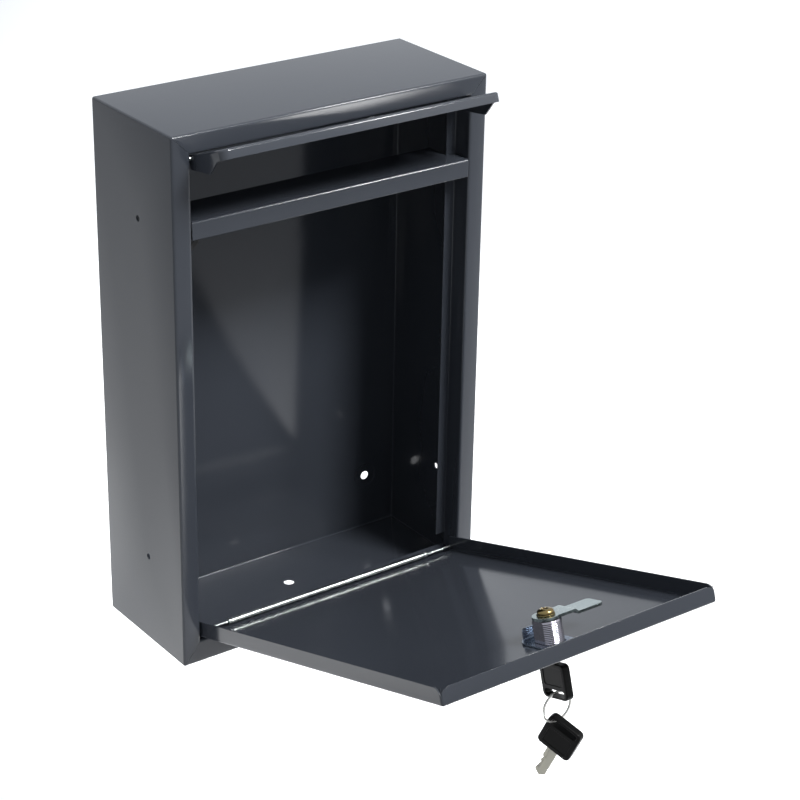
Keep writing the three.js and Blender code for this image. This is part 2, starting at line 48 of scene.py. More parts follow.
JAMB_DEPTH, STOP_WIDTH, STOP_FOOT, LEDGE_DEPTH = 17.3, 8.0, 29.0, 19.0
DOOR_AXIS, DOOR_OPEN = (4.6, 22.5), 72.3
FLAP_AXIS, FLAP_OPEN = (3.28, 382.1), 111.0
DOOR_FACE, DOOR_SIDE, DOOR_LENGTH, DOOR_FLANGE = 4.22, 15.3, 301.8, 12.2
SIDE_HOLE_Y, SIDE_HOLE_INSET, SIDE_HOLE = 46.5, 70.0, 2.3
DRAIN_Y, DRAIN_HOLE = 60.0, 4.0
FIXING_X, FIXING_Z, FIXING_HOLE = 28.0, 45.0, 3.5
SHELF_TOP, SHELF_FRONT, SHELF_DEPTH = 338.5, 13.0, 36.0
FLANGE_CORNER, FLAP_CORNER = 8.0, 6.0
TUBE_START, TUBE_LENGTH = 40.0, 180.0
LOCK_X, LOCK_Z, BARREL_TURN = 130.0, 265.48, -90.0
BARREL, FLAT, BARREL_TOP = 9.9, 8.0, 18.0
PLUG, PLUG_TOP, SQUARE = 6.5, 18.2, 3.5
CAM_BASE, CAM_THICK, CAM_LENGTH, CAM_WIDTH, CAM_BOSS = 18.5, 2.0, 42.0, 17.0, 9.5
KEY_OUT, KEY_2_TURN, KEY_2_TILT = 24.5, 22.0, 23.5
HEAD_WIDTH, HEAD_LENGTH = 26.0, 25.0
RING_CENTRE, RING_RADIUS = (130.0, -259.2, 56.7), 11.35
EYE_REACH, EYE_Z, EYE_RADIUS = 8.0, 8.3, 2.4
SHARP_ANGLE = 32.0

TO_ROW = Matrix.Scale(0.001, 4) @ Matrix.Translation((-WIDTH / 2, -DEPTH, -HEIGHT / 2))


def turn(axis, degrees):
    return Matrix.Rotation(math.radians(degrees), 4, axis)


AT_CASE = TO_ROW
AT_DOOR = TO_ROW @ Matrix.Translation((0, *DOOR_AXIS)) @ turn("X", DOOR_OPEN)
AT_FLAP = TO_ROW @ Matrix.Translation((0, *FLAP_AXIS)) @ turn("X", -FLAP_OPEN)
AT_LOCK = AT_DOOR @ Matrix.Translation((LOCK_X, -DOOR_FACE, LOCK_Z)) @ turn("X", -90)
AT_KEY_1 = AT_DOOR @ Matrix.Translation((LOCK_X, -DOOR_FACE - KEY_OUT, LOCK_Z)) @ turn("X", 90)
AT_KEY_2 = (
    TO_ROW
    @ Matrix.Translation((RING_CENTRE[0], RING_CENTRE[1], RING_CENTRE[2] - RING_RADIUS))
    @ turn("Z", KEY_2_TURN)
    @ turn("X", KEY_2_TILT)
    @ Matrix.Translation((0, -EYE_REACH, -EYE_Z))
)


# ---------------------------------------------------------------- shapes

def circle(cx, cy, radius, count=48):
    steps = (2 * math.pi * i / count for i in range(count))
    return [(cx + radius * math.cos(a), cy + radius * math.sin(a)) for a in steps]


def rounded(corners, steps=8):
    """Polygon whose corners are rounded; a corner is (x, y) or (x, y, radius)."""
    points = []
    count = len(corners)
    for i, corner in enumerate(corners):
        here = Vector(corner[:2])
        radius = corner[2] if len(corner) > 2 else 0
        if radius == 0:
            points.append(tuple(here))
            continue
        back = (Vector(corners[i - 1][:2]) - here).normalized()
        ahead = (Vector(corners[(i + 1) % count][:2]) - here).normalized()
        half = math.acos(max(-1, min(1, back.dot(ahead)))) / 2
        middle = here + (back + ahead).normalized() * radius / math.sin(half)
        arm = here + back * radius / math.tan(half) - middle
        side = 1 if back.x * ahead.y - back.y * ahead.x > 0 else -1
        sweep = -side * (math.pi - 2 * half)
        for k in range(steps + 1):
            c, s = math.cos(sweep * k / steps), math.sin(sweep * k / steps)
            points.append((middle.x + arm.x * c - arm.y * s, middle.y + arm.x * s + arm.y * c))
    return points


def folded(path, thick=SHEET, inner=INNER_BEND, steps=7):
    """Outline of a sheet strip that follows a bent centre line."""
    radius = inner + thick / 2
    line = []
    last = len(path) - 1
    for i, point in enumerate(path):
        here = Vector(point)
        if i in (0, last):
            a, b = (path[0], path[1]) if i == 0 else (path[-2], path[-1])
            line.append((here, (Vector(b) - Vector(a)).normalized()))
            continue
        into = (here - Vector(path[i - 1])).normalized()
        out = (Vector(path[i + 1]) - here).normalized()
        bend = math.atan2(into.x * out.y - into.y * out.x, into.dot(out))
        start = here - into * radius * math.tan(abs(bend) / 2)
        side = 1 if bend > 0 else -1
        middle = start + Vector((-into.y, into.x)) * side * radius
        for k in range(steps + 1):
            c, s = math.cos(bend * k / steps), math.sin(bend * k / steps)
            arm = start - middle
            at = middle + Vector((arm.x * c - arm.y * s, arm.x * s + arm.y * c))
            line.append((at, Vector((into.x * c - into.y * s, into.x * s + into.y * c))))
    left = [(p.x - d.y * thick / 2, p.y + d.x * thick / 2) for p, d in line]
    right = [(p.x + d.y * thick / 2, p.y - d.x * thick / 2) for p, d in line]
    return left + right[::-1]


def to_mesh(bm):
    bmesh.ops.recalc_face_normals(bm, faces=bm.faces)
    mesh = bpy.data.meshes.new("part")
    bm.to_mesh(mesh)
    bm.free()
    return mesh


def loft(loops):
    """Skin through loops of equal length, with the two ends capped."""
    bm = bmesh.new()
    rows = [[bm.verts.new(p) for p in loop] for loop in loops]
    count = len(rows[0])
    for low, high in zip(rows, rows[1:]):
        for i in range(count):
            j = (i + 1) % count
            bm.faces.new((low[i], low[j], high[j], high[i]))
    bm.faces.new(rows[0][::-1])
    bm.faces.new(rows[-1])
    return to_mesh(bm)


ORDER = {"x": (2, 0, 1), "y": (0, 2, 1), "z": (0, 1, 2)}


def prism(axis, outline, low, high):
    """Prism along an axis; the outline is given in the two other axes, in x, y, z order."""
    pick = ORDER[axis]
    return loft([[tuple((p[0], p[1], level)[k] for k in pick) for p in outline] for level in (low, high)])


def box(x0, x1, y0, y1, z0, z1):
    return prism("z", [(x0, y0), (x1, y0), (x1, y1), (x0, y1)], z0, z1)


def turned(profile, count=64, axis="z"):
    """Solid of revolution about an axis; profile is (radius, height), on the axis or closed on itself."""
    ring = profile[0][0] > 0
    bm = bmesh.new()
    rows = []
    for r, h in profile:
        if r == 0:
            rows.append([bm.verts.new((0, 0, h))] * count)
            continue
        rows.append([bm.verts.new((x, y, h)) for x, y in circle(0, 0, r, count)])
    pairs = list(zip(rows, rows[1:]))
    if ring:
        pairs.append((rows[-1], rows[0]))
    for low, high in pairs:
        for i in range(count):
            j = (i + 1) % count
            corners = []
            for v in (low[i], low[j], high[j], high[i]):
                if v not in corners:
                    corners.append(v)
            if len(corners) > 2:
                bm.faces.new(corners)
    mesh = to_mesh(bm)
    if axis == "x":
        mesh.transform(turn("Y", 90))
    if axis == "y":
        mesh.transform(turn("X", 90))
    return mesh


def moved(mesh, matrix):
    copy = mesh.copy()
    copy.transform(matrix)
    return copy


def mirrored(mesh):
    copy = moved(mesh, Matrix.Translation((WIDTH, 0, 0)) @ Matrix.Scale(-1, 4, (1, 0, 0)))
    copy.flip_normals()
    return copy


def combine(operation, mesh, *tools):
    """Joins, cuts or intersects closed meshes."""
    for tool in tools:
        a = bpy.data.objects.new("a", mesh)
        b = bpy.data.objects.new("b", tool)
        for o in (a, b):
            bpy.context.scene.collection.objects.link(o)
        modifier = a.modifiers.new("cut", "BOOLEAN")
        modifier.object = b
        modifier.operation = operation
        modifier.solver = "MANIFOLD"
        bpy.context.view_layer.update()
        graph = bpy.context.evaluated_depsgraph_get()
        mesh = bpy.data.meshes.new_from_object(a.evaluated_get(graph))
        for o in (a, b):
            bpy.data.objects.remove(o)
    return mesh


def cut(mesh, *tools):
    return combine("DIFFERENCE", mesh, *tools)


def join(mesh, *tools):
    return combine("UNION", mesh, *tools)


def common(mesh, *tools):
    return combine("INTERSECT", mesh, *tools)


def piece(name, mesh, place, body, material, replaces=()):
    """Puts a finished mesh in the row frame as one piece of the visual model."""
    copy = mesh.copy()
    copy.transform(place)
    copy.name = name
    bm = bmesh.new()
    bm.from_mesh(copy)
    bmesh.ops.remove_doubles(bm, verts=bm.verts, dist=2e-6)
    bmesh.ops.dissolve_degenerate(bm, edges=bm.edges, dist=1e-6)
    bmesh.ops.recalc_face_normals(bm, faces=bm.faces)
    bm.to_mesh(copy)
    bm.free()
    copy.shade_smooth()
    copy.set_sharp_from_angle(angle=math.radians(SHARP_ANGLE))
    copy.materials.clear()
    copy.materials.append(material)
    obj = bpy.data.objects.new(name, copy)
    bpy.context.scene.collection.objects.link(obj)
    if replaces:
        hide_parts(*replaces)
    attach(obj, body)
    return obj


# ---------------------------------------------------------------- materials

def nodes_of(name):
    material = bpy.data.materials.new(name)
    material.use_nodes = True
    tree = material.node_tree
    shader = tree.nodes["Principled BSDF"]
    where = tree.nodes.new("ShaderNodeTexCoord")

    def add(kind, inputs=None, **settings):
        node = tree.nodes.new(kind)
        for key, value in settings.items():
            setattr(node, key, value)
        for key, value in (inputs or {}).items():
            if isinstance(value, bpy.types.NodeSocket):
                tree.links.new(value, node.inputs[key])
            else:
                node.inputs[key].default_value = value
        return node

    return material, tree, shader, where.outputs["Object"], add


def coat_material(name, colour, rough, edge_radius=0.0005, peel=0.05, ior=1.5, specular=0.5):
    """Powder coat: fine orange peel, faint cloudiness and a painted highlight that lightens the edges."""
    material, tree, shader, place, add = nodes_of(name)
    cloud = add("ShaderNodeTexNoise", {"Vector": place, "Scale": 9.0, "Detail": 3.0})
    speck = add("ShaderNodeTexNoise", {"Vector": place, "Scale": 900.0, "Detail": 2.0})
    peel_noise = add("ShaderNodeTexNoise", {"Vector": place, "Scale": 420.0, "Detail": 1.5})
    bevel = add("ShaderNodeBevel", {"Radius": edge_radius}, samples=4)
    bump = add("ShaderNodeBump", {"Height": peel_noise.outputs["Fac"], "Normal": bevel.outputs["Normal"],
                                  "Strength": peel, "Distance": 0.0004})
    geometry = add("ShaderNodeNewGeometry")
    facing = add("ShaderNodeVectorMath", {0: bevel.outputs["Normal"], 1: geometry.outputs["Normal"]},
                 operation="DOT_PRODUCT")
    edge = add("ShaderNodeMapRange", {"Value": facing.outputs["Value"], "From Min": 0.98, "From Max": 0.8,
                                      "To Min": 0.0, "To Max": 0.5})
    dark = tuple(c * 0.9 for c in colour) + (1,)
    light = tuple(c * 1.12 for c in colour) + (1,)
    # painted highlight: a lighter base colour mixed in along the edges by the edge mask
    edge_highlight = tuple(c * 1.6 + 0.006 for c in colour) + (1,)
    base = add("ShaderNodeMix", {"Factor": cloud.outputs["Fac"], "A": dark, "B": light}, data_type="RGBA")
    rim = add("ShaderNodeMix", {"Factor": edge.outputs["Result"], "A": base.outputs["Result"], "B": edge_highlight},
              data_type="RGBA")
    gloss = add("ShaderNodeMapRange", {"Value": speck.outputs["Fac"], "From Min": 0.3, "From Max": 0.7,
                                       "To Min": rough - 0.02, "To Max": rough + 0.03})
    shader.inputs["IOR"].default_value = ior
    shader.inputs["Specular IOR Level"].default_value = specular
    tree.links.new(rim.outputs["Result"], shader.inputs["Base Color"])
    tree.links.new(gloss.outputs["Result"], shader.inputs["Roughness"])
    tree.links.new(bump.outputs["Normal"], shader.inputs["Normal"])
    return material


def metal_material(name, colour, rough, streak=(60, 60, 900), tint=(1, 1, 1), edge_radius=0.0002):
    """Plated metal: fine streaks, cloudy plating and softened edges."""
    material, tree, shader, place, add = nodes_of(name)
    stretch = add("ShaderNodeMapping", {"Vector": place, "Scale": streak})
    fine = add("ShaderNodeTexNoise", {"Vector": stretch.outputs["Vector"], "Scale": 4.0, "Detail": 4.0})
    cloud = add("ShaderNodeTexNoise", {"Vector": place, "Scale": 160.0, "Detail": 3.0})
    bevel = add("ShaderNodeBevel", {"Radius": edge_radius}, samples=4)
    bump = add("ShaderNodeBump", {"Height": fine.outputs["Fac"], "Normal": bevel.outputs["Normal"],
                                  "Strength": 0.06, "Distance": 0.0002})
    other = tuple(c * t for c, t in zip(colour, tint)) + (1,)
    base = add("ShaderNodeMix", {"Factor": cloud.outputs["Fac"], "A": (*colour, 1), "B": other},
               data_type="RGBA")
    gloss = add("ShaderNodeMapRange", {"Value": fine.outputs["Fac"], "From Min": 0.25, "From Max": 0.75,
                                       "To Min": rough - 0.06, "To Max": rough + 0.1})
    shader.inputs["Metallic"].default_value = 1.0
    tree.links.new(base.outputs["Result"], shader.inputs["Base Color"])
    tree.links.new(gloss.outputs["Result"], shader.inputs["Roughness"])
    tree.links.new(bump.outputs["Normal"], shader.inputs["Normal"])
    return material


COAT = coat_material("anthracite_powder_coat", (0.022, 0.025, 0.031), 0.12, peel=0.012)
BLACK = coat_material("black_moulded_plastic", (0.003, 0.003, 0.003), 0.30, 0.0003, 0.02, specular=0.1)
RUBBER = coat_material("black_rubber", (0.012, 0.012, 0.012), 0.72, 0.0004, 0.12)
ZINC = metal_material("bright_zinc", (0.42, 0.50, 0.51), 0.20, (60, 60, 700), (1.15, 1.1, 1.05))
BLUE_ZINC = metal_material("blue_zinc", (0.20, 0.25, 0.33), 0.24, (60, 60, 300), (1.3, 1.2, 1.1))
CHROME = metal_material("bright_nickel", (0.30, 0.295, 0.32), 0.12, (90, 90, 40), (1.1, 1.05, 1.1))
NICKEL = metal_material("satin_nickel", (0.62, 0.62, 0.60), 0.22, (500, 60, 60), (1.12, 1.1, 1.05))
BLADE = metal_material("worn_nickel_brass", (0.32, 0.315, 0.285), 0.34, (500, 60, 60), (1.15, 1.12, 1.0))
STEEL = metal_material("bar_zinc", (0.40, 0.42, 0.43), 0.22, (40, 900, 900), (1.1, 1.08, 1.0))
YELLOW = metal_material("yellow_zinc", (0.21, 0.18, 0.085), 0.16, (300, 300, 60), (1.4, 1.1, 0.9))


# ---------------------------------------------------------------- case

def frame_loop(y, left, bottom, top, radius, steps=5):
    """Rounded rectangle at one depth; the offsets are measured inwards from the outside of the case."""
    x0, x1 = left, WIDTH - left
    z0, z1 = bottom, HEIGHT - top
    r = max(radius, 0.02)
    corners = rounded([(x0, z0, r), (x1, z0, r), (x1, z1, r), (x0, z1, r)], steps)
    return [(x, y, z) for x, z in corners]


def case_shell():
    """Skin round the outside, over the front lips and back along the inside, with its holes cut."""
    loops = []
    back, front, steps = 1.5, OUTER_BEND, 6
    quarter = [math.pi / 2 * k / steps for k in range(steps + 1)]

    def even(y, offset, radius):
        loops.append(frame_loop(y, offset, offset, offset, radius))

    for a in quarter:
        offset = back * (1 - math.sin(a))
        even(DEPTH - back * (1 - math.cos(a)), offset, OUTER_BEND - offset)
    for a in quarter:
        offset = front * (1 - math.cos(a))
        even(front * (1 - math.sin(a)), offset, OUTER_BEND - offset)
    for y in (0.0, SHEET):
        ends = [LIP - OUTER_BEND, BOTTOM_LIP - OUTER_BEND, LIP - OUTER_BEND]
        loops.append(frame_loop(y, *ends, 0.02))
    even(SHEET, front, 0.02)
    for a in quarter[::-1]:
        offset = SHEET + INNER_BEND * (1 - math.cos(a))
        even(SHEET + INNER_BEND * (1 - math.sin(a)), offset, OUTER_BEND - offset)
    for a in quarter[::-1]:
        offset = SHEET + SEAM * (1 - math.sin(a))
        even(DEPTH - SHEET - SEAM * (1 - math.cos(a)), offset, OUTER_BEND - offset)
    return cut(loft(loops), *case_holes(), *mitre_grooves())


def case_holes():
    """Side screw holes, drain hole, and the fixing holes in their shallow dishes."""
    tools = []
    for x, z in ((0.0, SIDE_HOLE_INSET), (0.0, HEIGHT - SIDE_HOLE_INSET), (WIDTH, SIDE_HOLE_INSET)):
        tools.append(prism("x", circle(SIDE_HOLE_Y, z, SIDE_HOLE, 32), x - 3, x + 3))
    tools.append(prism("z", circle(WIDTH / 2, DRAIN_Y, DRAIN_HOLE, 40), -2, 3))
    dish = turned([(0, 0.5), (11.3, 0.5), (10.6, 0.0), (10.1, -0.08), (9.2, -0.5), (8.7, -0.6), (0, -0.6)],
                  48, "y")
    eye = turned([(0, -3), (FIXING_HOLE, -3), (FIXING_HOLE, 5), (0, 5)], 40, "y")
    for x in (FIXING_X, WIDTH - FIXING_X):
        for z in (FIXING_Z, HEIGHT - FIXING_Z):
            tools.append(moved(dish, Matrix.Translation((x, DEPTH - SHEET, z))))
            tools.append(moved(eye, Matrix.Translation((x, DEPTH, z))))
    return tools


def mitre_grooves():
    """Open seams where the front lips meet at the corners."""
    grooves = []
    for end, far in ((BOTTOM_LIP, 0), (LIP, 1)):
        a = Vector((1.9, 1.9 * end / LIP))
        b = Vector((LIP + 1, (LIP + 1) * end / LIP))
        side = (b - a).orthogonal().normalized() * 0.16
        corners = [a + side, b + side, b - side, a - side]
        outline = [(p.x, HEIGHT - p.y if far else p.y) for p in corners]
        groove = prism("y", outline, -1, 0.55)
        grooves += [groove, mirrored(groove)]
    return grooves


def jamb():
    """Return of the side lip, with the door stop strip."""
    h = SHEET / 2
    line = [(LIP - 3.2, h), (LIP - h, h), (LIP - h, JAMB_DEPTH - h), (LIP + STOP_WIDTH, JAMB_DEPTH - h)]
    outline = folded(line, SHEET - 0.02)
    low, high = BOTTOM_LIP - 2, HEIGHT - LIP + 2
    full = prism("z", outline, low, high)
    slope = BOTTOM_LIP / LIP
    far = LIP + 12
    top = HEIGHT - LIP
    over = [(LIP - 6, top + 6), (LIP, top), (far, top - 1), (far, top + 9), (LIP - 6, top + 9)]
    under = [(LIP - 6, BOTTOM_LIP - 6 * slope), (LIP, BOTTOM_LIP), (far, BOTTOM_LIP), (far, 0), (LIP - 6, 0)]
    foot = box(LIP + 0.01, far, 3, 20, 0, STOP_FOOT)
    pins = []
    for axis, radius in ((DOOR_AXIS, 1.1), (FLAP_AXIS, 1.0)):
        pins.append(prism("x", circle(*axis, radius, 32), LIP - 3, LIP + 2))
    return cut(full, prism("y", over, -1, 20), prism("y", under, -1, 20), foot, *pins)


def cross_return(depth, lip, up):
    """Return of the top or bottom lip, mitred at both ends."""
    h = SHEET / 2
    line = [(h, lip - 3.2), (h, lip - h), (depth, lip - h)]
    full = prism("x", folded(line, SHEET - 0.02), LIP - 4, WIDTH - LIP + 4)
    slope = LIP / lip
    side = [(LIP, lip), (LIP - 6 * slope, lip - 6), (0, lip - 6), (0, lip + 3), (LIP, lip + 3)]
    corner = prism("y", side, -1, depth + 2)
    strip = cut(full, corner, mirrored(corner))
    if up:
        flip = Matrix.Translation((0, 0, HEIGHT)) @ Matrix.Scale(-1, 4, (0, 0, 1))
        strip = moved(strip, flip)
        strip.flip_normals()
    return strip


def shelf():
    """Rail below the letter slot and the shelf behind it."""
    h = SHEET / 2
    line = [(h, SHELF_TOP - SHELF_FRONT), (h, SHELF_TOP - h), (SHELF_DEPTH, SHELF_TOP - h)]
    side = LIP + 0.3
    wide = LIP + STOP_WIDTH + 0.5
    notch = box(0, wide, JAMB_DEPTH - 1.5, SHELF_DEPTH + 2, SHELF_TOP - 4, SHELF_TOP + 2)
    return cut(prism("x", folded(line), side, WIDTH - side), notch, mirrored(notch))


def bumper():
    """Quarter-round rubber pad with a softened rim."""
    left, top, radius = LIP + 0.6, 325.2, 14.0
    loops = []
    for y, inset in ((16.0, 0.0), (13.7, 0.0), (13.3, 0.12), (13.08, 0.4), (13.0, 0.8)):
        outline = rounded([
            (left + inset, top - inset, 0.5), (left + radius - inset, top - inset, 0.5),
            (left + radius - inset, top - radius + inset, radius - 1.4),
            (left + inset, top - radius + inset, 0.5)], 8)
        loops.append([(x, y, z) for x, z in outline])
    return loft(loops)


def build_case():
    nodes = ["side_panel_left", "side_panel_right", "top_panel", "bottom_panel", "back_panel"]
    piece("case_shell", case_shell(), AT_CASE, "case", COAT, nodes)
    side = jamb()
    piece("case_jamb_left", side, AT_CASE, "case", COAT)
    piece("case_jamb_right", mirrored(side), AT_CASE, "case", COAT)
    piece("case_sill", cross_return(LEDGE_DEPTH, BOTTOM_LIP, False), AT_CASE, "case", COAT)
    piece("case_head", cross_return(LIP, LIP, True), AT_CASE, "case", COAT)
    piece("shelf", shelf(), AT_CASE, "case", COAT, ["slot_shelf"])
    piece("bumper", bumper(), AT_CASE, "case", RUBBER, ["door_bumper"])


# ---------------------------------------------------------------- flap and door

def flap():
    """Pressed flap with rounded face edges, a turned rim and two deeper ears."""
    left, right, low, high = 16.3, WIDTH - 16.3, -42.8, 14.0
    face, bend = -2.0, 1.7

    def layer(y, inset, top):
        r = FLAP_CORNER - inset
        corners = [(left + inset, low + inset, r), (right - inset, low + inset, r),
                   (right - inset, top, 0.5), (left + inset, top, 0.5)]
        return [(x, y, z) for x, z in rounded(corners, 8)]

    steps = 6
    outer, inner = [], []
    for k in range(steps + 1):
        a = math.pi / 2 * k / steps
        outer.append(layer(face + bend * (1 - math.cos(a)), bend * (1 - math.sin(a)), high))
        r = bend - SHEET
        inner.append(layer(face + SHEET + r * (1 - math.cos(a)), SHEET + r * (1 - math.sin(a)), high + 6))
    outer.append(layer(face + 17, 0.0, high))
    inner.append(layer(face + 20, SHEET, high + 6))
    ears = rounded([(face - 1, 2.5), (7.5, 2.5, 1.0), (12.5, -21.0, 1.5), (5.2, -33.0, 3.0), (5.0, -46.0),
                    (face - 1, -46.0)], 6)
    shell = common(cut(loft(outer), loft(inner)), prism("x", ears, left - 1, right + 1))
    return cut(shell, prism("x", circle(0, 0, 1.0, 32), left - 2, right + 2))


def barrel_section(radius, flat, low, high):
    round_bar = prism("z", circle(0, 0, radius, 64), low, high)
    section = common(round_bar, box(-20, 20, -flat, flat, low - 1, high + 1))
    return moved(section, turn("Z", BARREL_TURN))


def beyond_corner(rim, end, radius, steps=10):
    """Outline of what lies outside a rounded corner at (rim, end)."""
    arc = [math.pi / 2 * k / steps for k in range(steps + 1)]
    points = [(rim - radius + radius * math.cos(a), end - radius + radius * math.sin(a)) for a in arc]
    return points + [(rim - radius, end + 2), (rim + 2, end + 2), (rim + 2, end - radius)]


def door():
    """Door tray: two sides and the free end folded up, the corners closed up to the flange ends."""
    face = -DOOR_FACE
    rim = face + DOOR_FLANGE
    left, right = DOOR_SIDE, WIDTH - DOOR_SIDE

    def layer(y, inset, low):
        r = max(OUTER_BEND - inset, 0.05)
        corners = [(left + inset, low), (right - inset, low),
                   (right - inset, DOOR_LENGTH - inset, r), (left + inset, DOOR_LENGTH - inset, r)]
        return [(x, y, z) for x, z in rounded(corners, 6)]

    steps = 7
    outer, inner = [], []
    for k in range(steps + 1):
        a = math.pi / 2 * k / steps
        drop, side = 1 - math.cos(a), 1 - math.sin(a)
        outer.append(layer(face + OUTER_BEND * drop, OUTER_BEND * side, -6.0))
        inner.append(layer(face + SHEET + INNER_BEND * drop, SHEET + INNER_BEND * side, -9.0))
    outer.append(layer(rim, 0.0, -6.0))
    inner.append(layer(rim + 3, SHEET, -9.0))
    tray = cut(loft(outer), loft(inner))
    over = DOOR_LENGTH + 1
    profile = [(face - 1, -1.0), (-3.0, -3.0), (rim + 1, -3.0), (rim + 1, over), (face - 1, over)]
    tray = common(tray, prism("x", profile, left - 1, right + 1))
    side_end = prism("x", beyond_corner(rim, DOOR_LENGTH, FLANGE_CORNER), left - 1, left + SHEET + 0.02)
    across = [(x, y) for y, x in beyond_corner(rim, right, FLANGE_CORNER)]
    end_end = prism("z", across, DOOR_LENGTH - SHEET - 0.02, over)
    foot = box(left + 2, right - 2, face - 1, face + 2, -4.0, -1.0)
    pins = prism("x", circle(0, 0, 1.1, 32), left - 1, right + 1)
    to_door = Matrix.Translation((LOCK_X, face, LOCK_Z)) @ turn("X", -90)
    hole = moved(barrel_section(BARREL + 0.35, FLAT + 0.35, -1, 2), to_door)
    return cut(tray, side_end, mirrored(side_end), end_end, mirrored(end_end), foot, pins, hole)


# ---------------------------------------------------------------- lock

def housing():
    """Threaded barrel with two flats, a groove for the clip and the outer flange."""
    root = BARREL - 0.35
    profile = [(6.6, -2), (10.3, -2), (10.9, -1.9), (11.35, -1.5), (11.5, -1.0), (11.5, -0.3), (root, -0.3)]
    pitch = 1.25
    level = 0.8
    while level + pitch < BARREL_TOP - 0.4:
        profile += [(root, level), (BARREL - 0.05, level + pitch * 0.3), (BARREL, level + pitch * 0.5),
                    (BARREL - 0.05, level + pitch * 0.7)]
        level += pitch
    profile += [(root, level), (root - 0.1, BARREL_TOP - 0.4), (root - 0.5, BARREL_TOP), (6.6, BARREL_TOP)]
    barrel = turned(profile, 72)

    def sides(flat, low, high):
        upper = box(-20, 20, flat, 20, low, high)
        lower = box(-20, 20, -20, -flat, low, high)
        return [moved(m, turn("Z", BARREL_TURN)) for m in (upper, lower)]

    return cut(barrel, *sides(FLAT, -0.3, 20), *sides(FLAT - 0.7, SHEET, 2.8))


def clip():
    """U-shaped clip that holds the barrel in the door, with a turned-up tab."""
    slot, base, thick = FLAT - 0.4, SHEET + 0.3, 1.2
    reach = BARREL + 0.3
    shoulder = -math.sqrt(reach ** 2 - slot ** 2)
    outline = rounded([
        (16.5, slot, 0.6), (16.5, 12.5, 2.5), (-14, 12.5, 5), (-20.6, 7.5, 2),
        (-20.6, -7.5, 2), (-14, -12.5, 5), (16.5, -12.5, 2.5), (16.5, -slot, 0.6),
        (shoulder, -slot, 0.8), (-reach, -3, 2), (-reach, 3, 2), (shoulder, slot, 0.8)], 6)
    plate = prism("z", outline, base, base + thick)
    bend = folded([(-16.5, base + 0.6), (-20.0, base + 0.6), (-20.0, base + 8.4)], thick - 0.02, 0.5)
    tab = prism("y", bend, -6.5, 6.5)
    crown = rounded([(-6.5, base - 1), (6.5, base - 1), (6.5, base + 8.4, 2.5), (-6.5, base + 8.4, 2.5)], 6)
    tab = common(tab, prism("x", crown, -22, -14))
    return moved(join(plate, tab), turn("Z", BARREL_TURN))


def plug():
    """Turning core with the keyway, the square for the cam and the thread for the screw."""
    r, top, q = PLUG, PLUG_TOP, SQUARE
    profile = [(0, -2), (r - 0.5, -2), (r - 0.2, -1.9), (r, -1.6), (r, top - 0.2), (r - 0.2, top), (0, top)]
    body = turned(profile, 64)
    square = prism("z", rounded([(-q, -q, 0.4), (q, -q, 0.4), (q, q, 0.4), (-q, q, 0.4)], 3), 17, 20.4)
    keyway = box(-1.3, 1.3, -4.3, 4.3, -3, 13.3)
    return cut(join(body, square), keyway, prism("z", circle(0, 0, 2.3, 32), 14.9, 22))


def cam():
    """Cranked plate on the square of the plug."""
    middle = CAM_BASE + CAM_THICK / 2
    line = [(-12, middle), (18, middle), (20.2, middle - 2.2), (CAM_LENGTH, middle - 2.2)]
    strip = prism("y", folded(line, CAM_THICK, 0.8), -12, 12)
    wide = CAM_WIDTH / 2
    outline = rounded([(0, -wide), (CAM_LENGTH, -wide, 3.2), (CAM_LENGTH, wide, 3.2), (0, wide)], 8)
    blade = prism("z", outline, 0, 30)
    boss = prism("z", circle(0, 0, CAM_BOSS, 64), 0, 30)
    return cut(common(strip, join(blade, boss)), box(-3.8, 3.8, -3.8, 3.8, 0, 30))


def washer():
    return turned([(2.3, 20.8), (6.1, 20.8), (6.3, 21.0), (6.3, 21.45), (6.15, 21.6), (2.3, 21.6)], 56)


def screw():
    """Pan head screw with a cross recess."""
    seat = 21.9
    head = turned([
        (0, 15.2), (2.0, 15.2), (2.0, seat), (5.55, seat), (5.75, seat + 0.15), (5.72, seat + 1.1),
        (5.4, seat + 1.8), (4.6, seat + 2.45), (3.4, seat + 2.85), (2.0, seat + 3.05), (0, 25.0)], 56)
    arm = loft([
        [(-2.2, -0.45, 22.9), (2.2, -0.45, 22.9), (2.2, 0.45, 22.9), (-2.2, 0.45, 22.9)],
        [(-3.3, -0.85, 25.6), (3.3, -0.85, 25.6), (3.3, 0.85, 25.6), (-3.3, 0.85, 25.6)],
    ])
    return cut(head, arm, moved(arm, turn("Z", 90)))


def build_lock():
    piece("housing", housing(), AT_LOCK, "door", CHROME, ["lock_housing"])
    piece("clip", clip(), AT_LOCK, "door", BLUE_ZINC, ["lock_clip"])
    piece("plug", plug(), AT_LOCK, "lock_core", NICKEL, ["lock_plug"])
    piece("cam", cam(), AT_LOCK, "lock_core", ZINC, ["lock_cam"])
    piece("washer", washer(), AT_LOCK, "lock_core", YELLOW, ["cam_washer"])
    piece("screw", screw(), AT_LOCK, "lock_core", YELLOW, ["cam_screw"])


# ---------------------------------------------------------------- keys and ring

